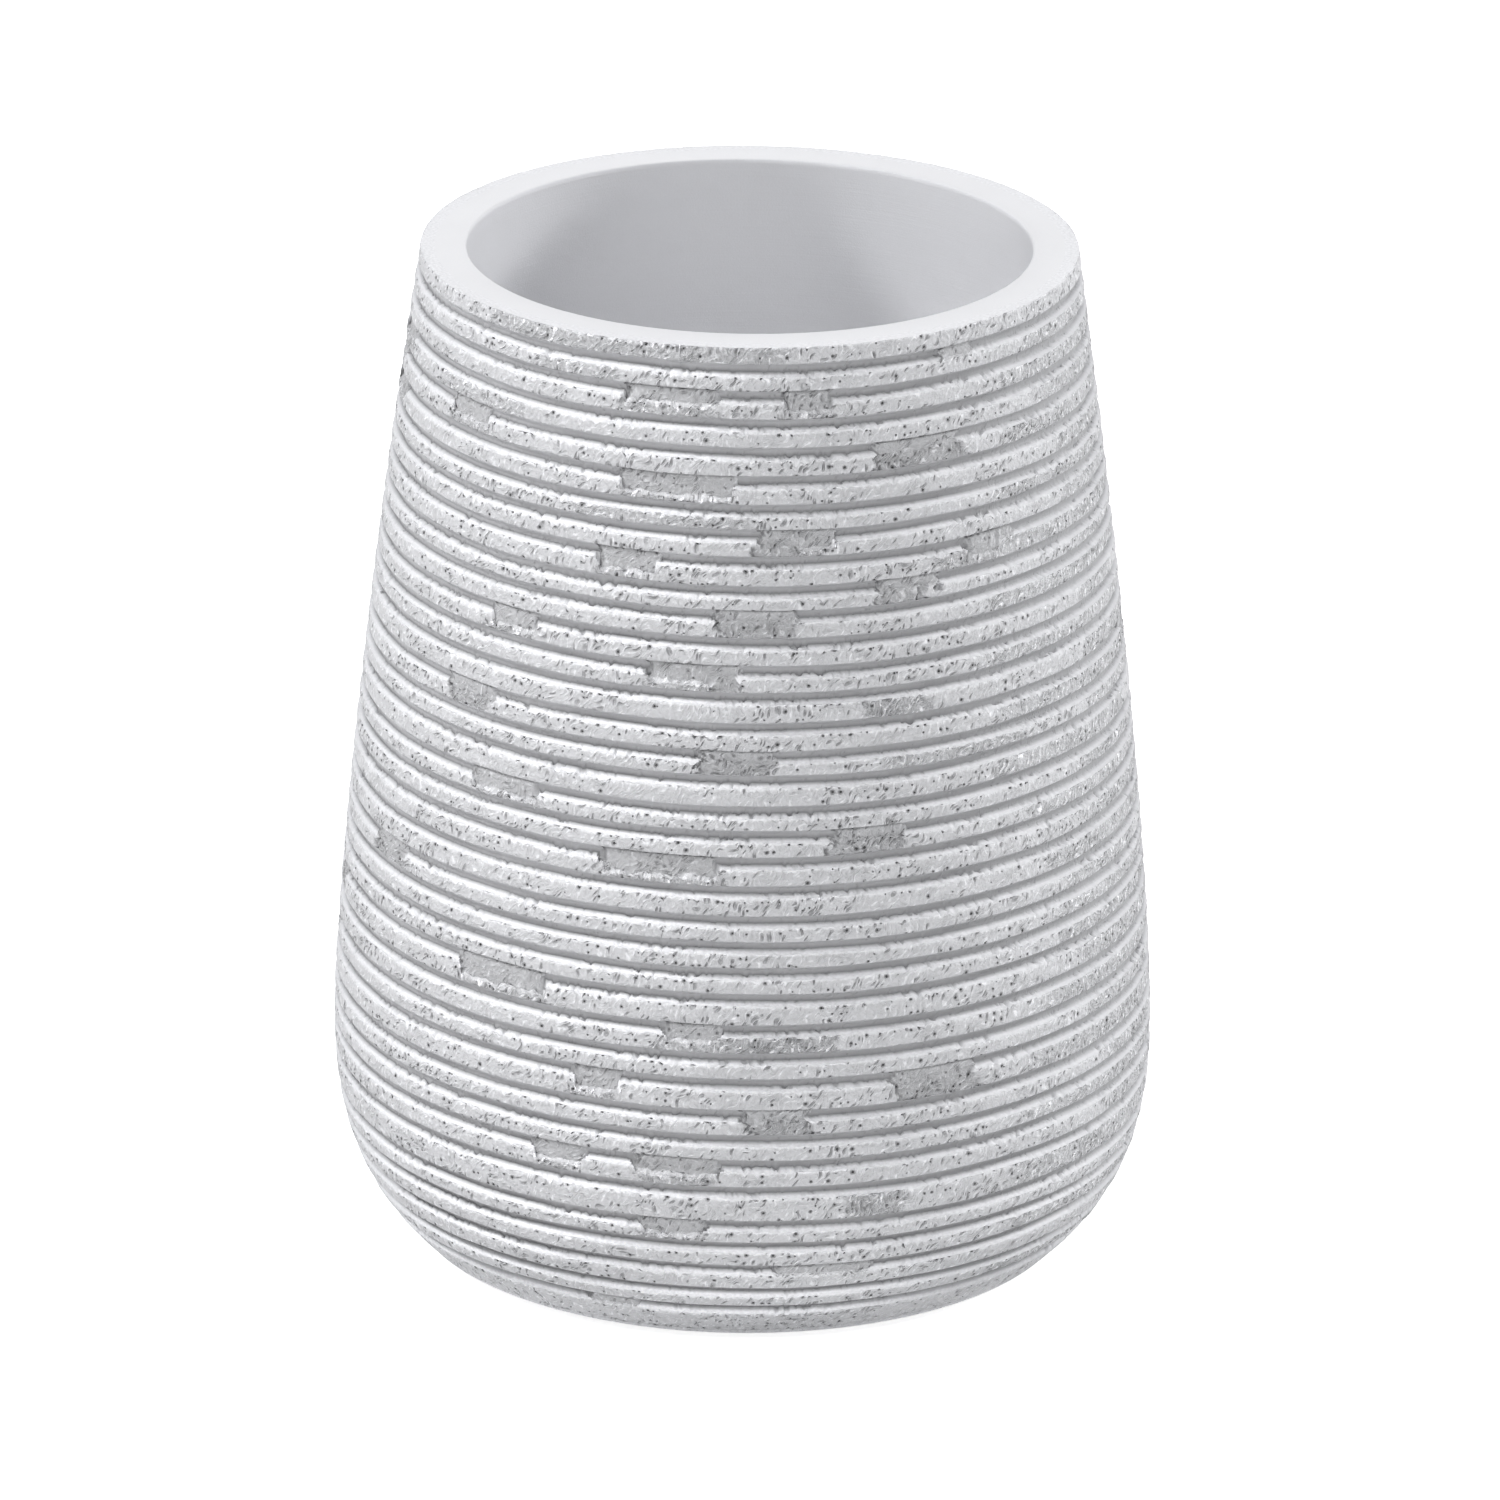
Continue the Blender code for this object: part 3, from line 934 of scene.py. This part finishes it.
def foot_profile(low, high):
    """Half of a foot's section, from the middle of its top out and down to the middle of its face."""
    radius = (high.x - low.x) / 2
    centre = Vector((radius - FOOT_EDGE, low.z + FOOT_EDGE))
    angles = [-math.pi / 2 * i / FOOT_STEPS for i in range(FOOT_STEPS + 1)]
    edge = [centre + FOOT_EDGE * Vector((math.cos(a), math.sin(a))) for a in angles]
    ring = [
        Vector((RING_RADIUS + RING_WIDTH * across, low.z + RING_DEPTH * rise))
        for across, rise in ring_shares
    ]
    dimple = [
        Vector((DIMPLE_RADIUS * share, low.z + DIMPLE_DEPTH * (1 - share**2))) for share in dimple_shares
    ]
    return [Vector((0, high.z)), Vector((radius, high.z))] + edge + ring + dimple


bumper_plastic = bumper()
for name in feet:
    low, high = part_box(name)
    foot = turned("bumper_" + name, foot_profile(low, high), SEAT_SIDES, bumper_plastic)
    foot.data.transform(Matrix.Translation(((low.x + high.x) / 2, (low.y + high.y) / 2, 0)))
    keep(foot, name)

# The studio floor is a plain white sheet that looks a little brighter than it is lit, so that only a faint
# shadow stays on it. The light that it adds is seen but lights nothing.
FLOOR_SIZE = 6.0
FLOOR_WHITE = 0.86
FLOOR_LIFT = 0.8


def white_sheet():
    material, shader, start = new_material("white sheet")
    shader.inputs["Base Color"].default_value = (FLOOR_WHITE, FLOOR_WHITE, FLOOR_WHITE, 1)
    shader.inputs["Roughness"].default_value = 1.0
    shader.inputs["Emission Color"].default_value = (1, 1, 1, 1)
    path = start.node("ShaderNodeLightPath", {}, {}, "Is Camera Ray")
    seen = path.most(path.also("Is Glossy Ray")).most(path.also("Is Transmission Ray"))
    (seen * FLOOR_LIFT).feed(shader, "Emission Strength")
    return material


sheet = bmesh.new()
bmesh.ops.create_grid(sheet, x_segments=1, y_segments=1, size=FLOOR_SIZE / 2)
sheet_mesh = bpy.data.meshes.new("floor")
sheet.to_mesh(sheet_mesh)
sheet.free()
sheet_mesh.materials.append(white_sheet())
floor = add("floor", sheet_mesh)

# A white surround, for the camera and what it sees through a clear piece, that lights nothing
world = bpy.data.worlds.new("surround")
bpy.context.scene.world = world
world.use_nodes = True
sky = world.node_tree.nodes["Background"]
sky.inputs["Color"].default_value = (1, 1, 1, 1)
path = Wire(world.node_tree).node("ShaderNodeLightPath", {}, {}, "Is Camera Ray")
path.most(path.also("Is Transmission Ray")).feed(sky, "Strength")

# Soft boxes round the tumbler, by angle from the front, elevation, size and power
middle = (cad_box[0] + cad_box[1]) / 2
BOX_DISTANCE = 3.0
soft_boxes = {
    "key": (-93, 38, 0.5, 59),
    "front": (0, 42, 0.8, 41),
    "low front": (2, 10, 0.8, 10),
    "right": (115, 22, 0.8, 64),
    "back": (180, 35, 0.8, 12),
}
for name, (azimuth, elevation, size, power) in soft_boxes.items():
    lamp = bpy.data.lights.new(name, "AREA")
    lamp.size = size
    lamp.energy = power
    box = add(name, lamp)
    turn_to, rise = math.radians(azimuth), math.radians(elevation)
    away = Vector((math.sin(turn_to) * math.cos(rise), -math.cos(turn_to) * math.cos(rise), math.sin(rise)))
    box.location = middle + away * BOX_DISTANCE
    box.rotation_euler = away.to_track_quat("Z", "Y").to_euler()

# The camera, fitted to the rim, the outline and the comb marks of the photograph
LENS = 287.06
SENSOR = 36.0
DISTANCE = 1.220
ELEVATION = math.radians(20.32)
ROLL = math.radians(0.559)
AIM = Vector((0.000508, 0, 0.05141))
eye = bpy.data.cameras.new("camera")
eye.lens = LENS
eye.sensor_width = SENSOR
camera = add("camera", eye)
camera.location = AIM + DISTANCE * Vector((0, -math.cos(ELEVATION), math.sin(ELEVATION)))
facing = Matrix.Rotation(math.pi / 2 - ELEVATION, 3, "X") @ Matrix.Rotation(ROLL, 3, "Z")
camera.rotation_euler = facing.to_euler()
bpy.context.scene.camera = camera
bpy.context.scene.view_settings.view_transform = "Standard"

bpy.context.view_layer.update()
